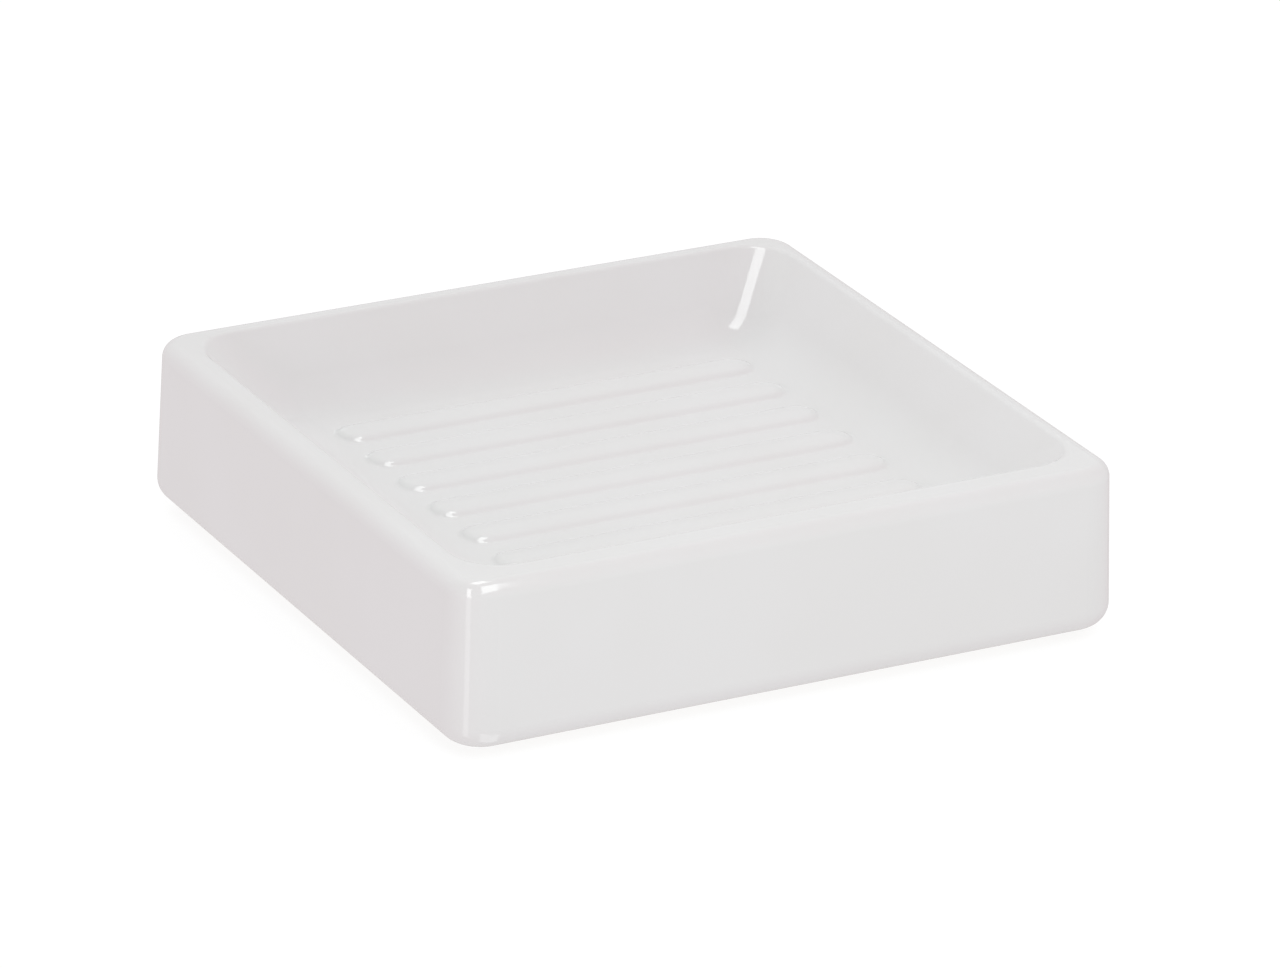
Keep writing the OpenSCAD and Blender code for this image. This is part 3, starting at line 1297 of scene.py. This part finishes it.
@dataclass(frozen=True)
class CameraPlace:
    """Where the camera stands: turned round the dish's middle, in degrees and metres."""

    azimuth: float = -27.851
    elevation: float = 22.735
    roll: float = 1.157
    distance: float = 1.2878
    shift_right: float = 0.002223
    shift_up: float = 0.012354
    lens_mm: float = 219.6
    sensor_mm: float = 36

    def build(self, stand_off: float) -> bpy.types.Object:
        """Sets the camera up and makes it the scene's.

        Args:
            stand_off: height of the ceramic over the surface that the feet stand on.

        Returns:
            The camera.
        """
        turn, lift, roll = (math.radians(angle) for angle in (self.azimuth, self.elevation, self.roll))
        back = Vector((math.sin(turn) * math.cos(lift), -math.cos(turn) * math.cos(lift), math.sin(lift)))
        right = Vector((math.cos(turn), math.sin(turn), 0))
        up = back.cross(right)
        place = back * self.distance + right * self.shift_right + up * self.shift_up
        lens = bpy.data.cameras.new("camera")
        lens.lens = self.lens_mm
        lens.sensor_width = self.sensor_mm
        camera = bpy.data.objects.new("camera", lens)
        bpy.context.scene.collection.objects.link(camera)
        rolled_right = right * math.cos(roll) + up * math.sin(roll)
        rolled_up = up * math.cos(roll) - right * math.sin(roll)
        axes = Matrix((rolled_right, rolled_up, back)).transposed().to_4x4()
        camera.matrix_world = Matrix.Translation(place + Vector((0, 0, stand_off))) @ axes
        bpy.context.scene.camera = camera
        return camera


@dataclass(frozen=True)
class Softbox:
    """A rectangular lamp that faces the dish and doesn't show in its glaze."""

    name: str
    direction: Triple
    watts: float
    tint: Triple
    width: float = 0.9
    height: float = 0.7
    distance: float = 1.2

    def build(self) -> bpy.types.Object:
        """Hangs the lamp.

        Returns:
            The lamp.
        """
        lamp = bpy.data.lights.new(self.name, "AREA")
        lamp.shape = "RECTANGLE"
        lamp.size = self.width
        lamp.size_y = self.height
        lamp.energy = self.watts
        lamp.color = self.tint
        holder = bpy.data.objects.new(self.name, lamp)
        bpy.context.scene.collection.objects.link(holder)
        aim = Vector(self.direction).normalized()
        holder.location = aim * self.distance
        holder.rotation_mode = "QUATERNION"
        holder.rotation_quaternion = aim.to_track_quat("Z", "Y")
        holder.visible_glossy = False
        holder.visible_camera = False
        return holder


@dataclass(frozen=True)
class LitCard:
    """A flat lit card, which shows only as a highlight in the glaze."""

    name: str
    strength: float
    corners: tuple[Triple, ...]

    def build(self) -> bpy.types.Object:
        """Hangs the card.

        Returns:
            The card.
        """
        card = add_primitive(
            self.name, bpy.ops.mesh.primitive_circle_add, vertices=len(self.corners), fill_type="NGON"
        )
        for vertex, corner in zip(card.data.vertices, self.corners):
            vertex.co = corner
        card.data.update()
        card.data.materials.append(self.light())
        card.visible_camera = False
        card.visible_diffuse = False
        card.visible_transmission = False
        card.visible_shadow = False
        return card

    def light(self) -> bpy.types.Material:
        """Builds the card's even light, which fades out once a ray has met a matt surface.

        Returns:
            The material.
        """
        material = glow_material(self.name)
        tree = material.node_tree
        met = tree.nodes.new("ShaderNodeLightPath").outputs["Diffuse Depth"]
        strength = ramp(tree, met, 0, 1, self.strength, 0)
        glow = add_node(tree, "ShaderNodeEmission", {"Strength": strength})
        feed(tree, tree.nodes["Material Output"].inputs["Surface"], glow.outputs[0])
        return material


@dataclass(frozen=True)
class Studio:
    """A lit white floor in even white surroundings, with a few soft lamps and cards.

    Cameras and clear things see plain white. What lights the dish, and what its glaze mirrors, is held at
    the levels given here.
    """

    softboxes: tuple[Softbox, ...] = (
        Softbox("front_softbox", (0, -1, 0.8), watts=1.65, tint=(1, 0.99, 0.99)),
        Softbox(
            "near_front_softbox",
            (-0.1, -0.7, 0.75),
            watts=0.29,
            tint=(0.9, 1, 0.97),
            width=0.3,
            height=0.25,
            distance=0.38,
        ),
        Softbox("back_softbox", (0, 1, 0.8), watts=4.9, tint=(0.93, 1, 0.985)),
        Softbox("right_softbox", (1, 0, 0.8), watts=2.0, tint=(1, 0.86, 0.9)),
        Softbox("low_left_softbox", (-1, 0, 0.2), watts=1.9, tint=(1, 0.78, 0.84), height=0.4),
    )
    cards: tuple[LitCard, ...] = (
        LitCard(
            "front_card",
            strength=5.5,
            corners=(
                (-0.078, -0.105, 0.3),
                (0.069, -0.068, 0.3),
                (0.075, -0.14, 0.3),
                (0.09, -0.225, 0.3),
                (0.122, -0.345, 0.3),
                (-0.258, -0.495, 0.3),
            ),
        ),
        LitCard(
            "strip_card",
            strength=5.0,
            corners=((-0.145, 0.078, 0.5), (-0.079, -0.01, 0.5), (0.153, 0.164, 0.5), (0.087, 0.252, 0.5)),
        ),
        LitCard(
            "standing_card",
            strength=5.5,
            corners=(
                (-0.64, -0.165, 0.70),
                (-0.515, -0.27, 0.775),
                (-0.77, -0.615, 0.02),
                (-0.86, -0.46, 0.005),
            ),
        ),
    )
    floor_radius: float = 3.0
    floor_facets: int = 96
    floor_glow: Colour = (0.973, 0.958, 0.963, 1)
    floor_seen: float = 0.83
    shadow_share: float = 0.2
    floor_shine: float = 0.27
    shine_roughness: float = 0.08
    ambient: Colour = (0.614, 0.608, 0.61, 1)
    mirrored: Colour = (0.672, 0.632, 0.64, 1)
    dim_side: Colour = (0.79, 0.425, 0.52, 1)
    dim_direction: Triple = (0.45, -0.4, 0.8)
    dim_from: float = 0.2
    dim_to: float = 1.0

    def build(self) -> None:
        """Sets up the floor, the surroundings, the lamps and the cards."""
        self.lay_floor()
        self.light_surroundings()
        for light in (*self.softboxes, *self.cards):
            light.build()
        bpy.context.scene.view_settings.view_transform = "Standard"

    def lay_floor(self) -> bpy.types.Object:
        """Lays the round floor that the feet stand on.

        Returns:
            The floor.
        """
        floor = add_primitive(
            "pale_floor",
            bpy.ops.mesh.primitive_circle_add,
            vertices=self.floor_facets,
            radius=self.floor_radius,
            fill_type="NGON",
        )
        floor.data.materials.append(self.floor_finish())
        return floor

    def floor_finish(self) -> bpy.types.Material:
        """Builds the floor: white with a soft shadow to look at, lit from within, clear from below.

        Returns:
            The material.
        """
        material = glow_material("pale_floor")
        tree = material.node_tree
        share, shine = self.shadow_share, self.floor_shine
        matt = add_node(tree, "ShaderNodeBsdfDiffuse", {"Color": (share, share, share, 1)})
        seen = self.lit(tree, WHITE, self.floor_seen, matt)
        polish = add_node(
            tree,
            "ShaderNodeBsdfGlossy",
            {"Color": (shine, shine, shine, 1), "Roughness": self.shine_roughness},
        )
        mirrored = self.lit(tree, self.mirrored, 1 - shine, polish)
        glow = add_node(tree, "ShaderNodeEmission", {"Color": self.floor_glow})
        clear = tree.nodes.new("ShaderNodeBsdfTransparent")
        top = self.by_ray(tree, seen, mirrored, glow)
        below = tree.nodes.new("ShaderNodeNewGeometry").outputs["Backfacing"]
        side = mix_shaders(tree, below, top, clear)
        feed(tree, tree.nodes["Material Output"].inputs["Surface"], side.outputs[0])
        return material

    @staticmethod
    def lit(
        tree: bpy.types.NodeTree, colour: Colour, strength: float, surface: bpy.types.Node
    ) -> bpy.types.Node:
        """Adds light of its own to a surface.

        Args:
            tree: the material's nodes.
            colour: colour of the light.
            strength: its strength.
            surface: the surface's shader.

        Returns:
            The two together.
        """
        glow = add_node(tree, "ShaderNodeEmission", {"Color": colour, "Strength": strength})
        return add_node(tree, "ShaderNodeAddShader", {0: surface.outputs[0], 1: glow.outputs[0]})

    @staticmethod
    def by_ray(
        tree: bpy.types.NodeTree, seen: bpy.types.Node, mirrored: bpy.types.Node, lighting: bpy.types.Node
    ) -> bpy.types.Node:
        """Picks a shader by the kind of ray that meets it.

        Args:
            tree: the tree that gets the nodes.
            seen: what cameras and clear things see.
            mirrored: what a glossy surface mirrors.
            lighting: what lights a matt surface.

        Returns:
            The picked shader.
        """
        path = tree.nodes.new("ShaderNodeLightPath").outputs
        looked_at = mix_shaders(tree, path["Is Glossy Ray"], seen, mirrored)
        return mix_shaders(tree, path["Is Diffuse Ray"], looked_at, lighting)

    def light_surroundings(self) -> None:
        """Makes the surroundings white to look at, with a dim side in the glaze and an even light."""
        world = bpy.data.worlds.new("surroundings")
        bpy.context.scene.world = world
        world.use_nodes = True
        world.cycles.sampling_method = "NONE"
        tree = world.node_tree
        white = tree.nodes["Background"]
        feed(tree, white.inputs["Color"], WHITE)
        even = add_node(tree, "ShaderNodeBackground", {"Color": self.ambient})
        towards = tree.nodes.new("ShaderNodeTexCoord").outputs["Generated"]
        terms = {0: towards, 1: Vector(self.dim_direction).normalized()}
        dot = add_node(tree, "ShaderNodeVectorMath", terms, operation="DOT_PRODUCT")
        share = ramp(tree, dot.outputs["Value"], self.dim_from, self.dim_to)
        colour = mix(tree, Blend.COLOUR, share, self.mirrored, self.dim_side)
        mirrored = add_node(tree, "ShaderNodeBackground", {"Color": colour})
        picked = self.by_ray(tree, white, mirrored, even)
        feed(tree, tree.nodes["World Output"].inputs["Surface"], picked.outputs[0])


def main() -> None:
    """Builds the dish and its studio."""
    logging.basicConfig(level=logging.INFO, format="%(name)s: %(message)s")
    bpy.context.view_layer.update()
    low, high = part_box("ceramic_dish")
    groups = Effects().build()
    dish = CeramicDish(low, high, DishSizes(), RibSizes()).build()
    dish.data.materials.append(Glaze(glaze_line=low.z + GLAZE_GAP).build(groups))
    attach(dish, BODY)
    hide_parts("ceramic_dish")
    feet = SiliconeFeet().build(Silicone().build(groups))
    film = AdhesiveFilm()
    film.dress(film.build(groups))
    for piece in (dish, *feet):
        LOG.info("%s: %d faces", piece.name, len(piece.data.polygons))
    CameraPlace().build(low.z)
    Studio().build()


if __name__ == "__main__":
    main()
